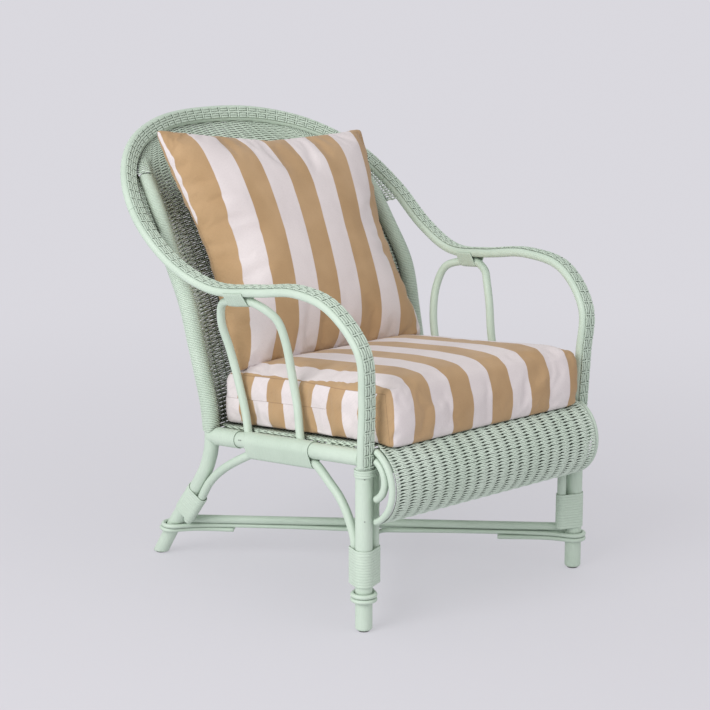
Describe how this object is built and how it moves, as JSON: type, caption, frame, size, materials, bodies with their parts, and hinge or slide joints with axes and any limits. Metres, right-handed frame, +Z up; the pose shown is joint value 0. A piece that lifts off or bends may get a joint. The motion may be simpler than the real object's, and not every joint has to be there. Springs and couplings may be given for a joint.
{
  "type": "rattan armchair",
  "caption": "Low lounge armchair of painted bent rattan with a woven rounded back, a woven front roll, looped arms and loose striped seat and back cushions.",
  "frame": {"origin": "on the floor, under the middle of the armchair's bounding box", "axes": "+Z up, the sitter faces -Y, the sitter's right hand is on the -X side"},
  "size_m": [0.6908, 0.8818, 0.8463],
  "materials": {
    "painted_rattan": "satin mint-green paint over smooth peeled rattan poles and bindings",
    "painted_weave": "the same paint over close woven rattan core",
    "striped_fabric": "plain woven cotton with wide tan and off-white stripes",
    "glide_plastic": "dull dark pads under the feet"
  },
  "bodies": {
    "frame": {"front_leg_right": "painted_rattan", "front_leg_left": "painted_rattan", "rear_leg_right": "painted_rattan", "rear_leg_left": "painted_rattan", "front_glide_right": "glide_plastic", "front_glide_left": "glide_plastic", "rear_glide_right": "glide_plastic", "rear_glide_left": "glide_plastic", "side_rail_right": "painted_rattan", "side_rail_left": "painted_rattan", "front_rail": "painted_rattan", "rear_rail": "painted_rattan", "seat_bearer_front": "painted_rattan", "seat_bearer_rear": "painted_rattan", "seat_weave": "painted_weave", "front_post_right": "painted_rattan", "front_post_left": "painted_rattan", "side_arch_right": "painted_rattan", "side_arch_left": "painted_rattan", "roll_edge_rod_right": "painted_rattan", "roll_edge_rod_left": "painted_rattan", "roll_bracket_right": "painted_rattan", "roll_bracket_left": "painted_rattan", "front_roll_weave": "painted_weave", "outer_arm_pole_right": "painted_rattan", "outer_arm_pole_left": "painted_rattan", "outer_back_hoop": "painted_rattan", "inner_arm_pole_right": "painted_rattan", "inner_arm_pole_left": "painted_rattan", "inner_back_hoop": "painted_rattan", "arm_braid_right": "painted_weave", "arm_braid_left": "painted_weave", "back_braid": "painted_weave", "post_weave_right": "painted_weave", "post_weave_left": "painted_weave", "back_weave": "painted_weave", "arm_loop_right": "painted_rattan", "arm_loop_left": "painted_rattan", "loop_binding_right": "painted_rattan", "loop_binding_left": "painted_rattan", "rail_binding_right": "painted_rattan", "rail_binding_left": "painted_rattan", "rail_end_wrap_right": "painted_rattan", "rail_end_wrap_left": "painted_rattan", "leg_ring_right": "painted_rattan", "leg_ring_left": "painted_rattan", "leg_wrap_right": "painted_rattan", "leg_wrap_left": "painted_rattan", "rear_leg_binding_right": "painted_rattan", "rear_leg_binding_left": "painted_rattan", "stretcher_pole": "painted_rattan", "stretcher_half_front": "painted_rattan", "stretcher_half_rear": "painted_rattan", "stretcher_loop_rod": "painted_rattan", "front_hairpin_right": "painted_rattan", "front_hairpin_left": "painted_rattan", "rear_hairpin_right": "painted_rattan", "rear_hairpin_left": "painted_rattan"},
    "seat_cushion": {"seat_cushion": "striped_fabric"},
    "back_cushion": {"back_cushion": "striped_fabric"}
  },
  "joints": [
    {"name": "seat_cushion_lift", "type": "slide", "parent": "frame", "child": "seat_cushion", "axis": [0, 0, 1], "range_m": [0, 0.6]},
    {"name": "back_cushion_lift", "type": "slide", "parent": "seat_cushion", "child": "back_cushion", "axis": [0, -0.3, 0.9539], "range_m": [0, 0.5]}
  ]
}
